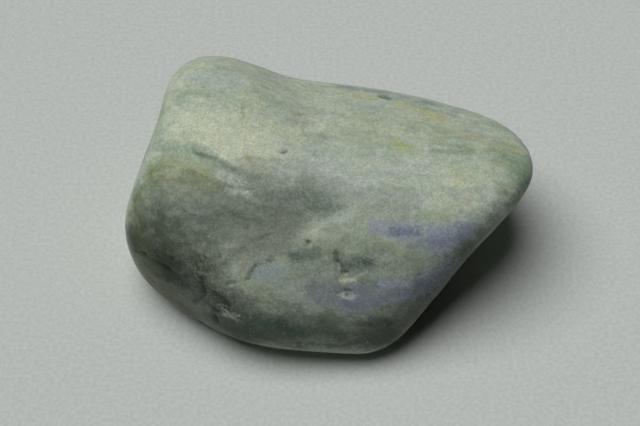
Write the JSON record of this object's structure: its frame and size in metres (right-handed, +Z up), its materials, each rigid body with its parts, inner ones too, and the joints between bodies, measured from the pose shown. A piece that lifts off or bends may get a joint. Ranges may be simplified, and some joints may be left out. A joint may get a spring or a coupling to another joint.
{
  "type": "tumbled jade stone",
  "caption": "Tumbled green jade pebble, blunt at one end and drawn to a raised beak at the other, lying on a small worn flat; a display, collector's or palm stone.",
  "frame": {"origin": "middle of the bounding box's bottom face, on the surface that the stone lies on", "axes": "+X along the stone's length from its blunt end to its beak; +Z up; +Y from the long front slope towards the back"},
  "size_m": [0.0592, 0.0444, 0.0238],
  "materials": {
    "jade": "waxy satin polish, mottled grey-green with lavender and ochre bands"
  },
  "bodies": {
    "root": {"jade_stone": "jade"}
  },
  "joints": []
}
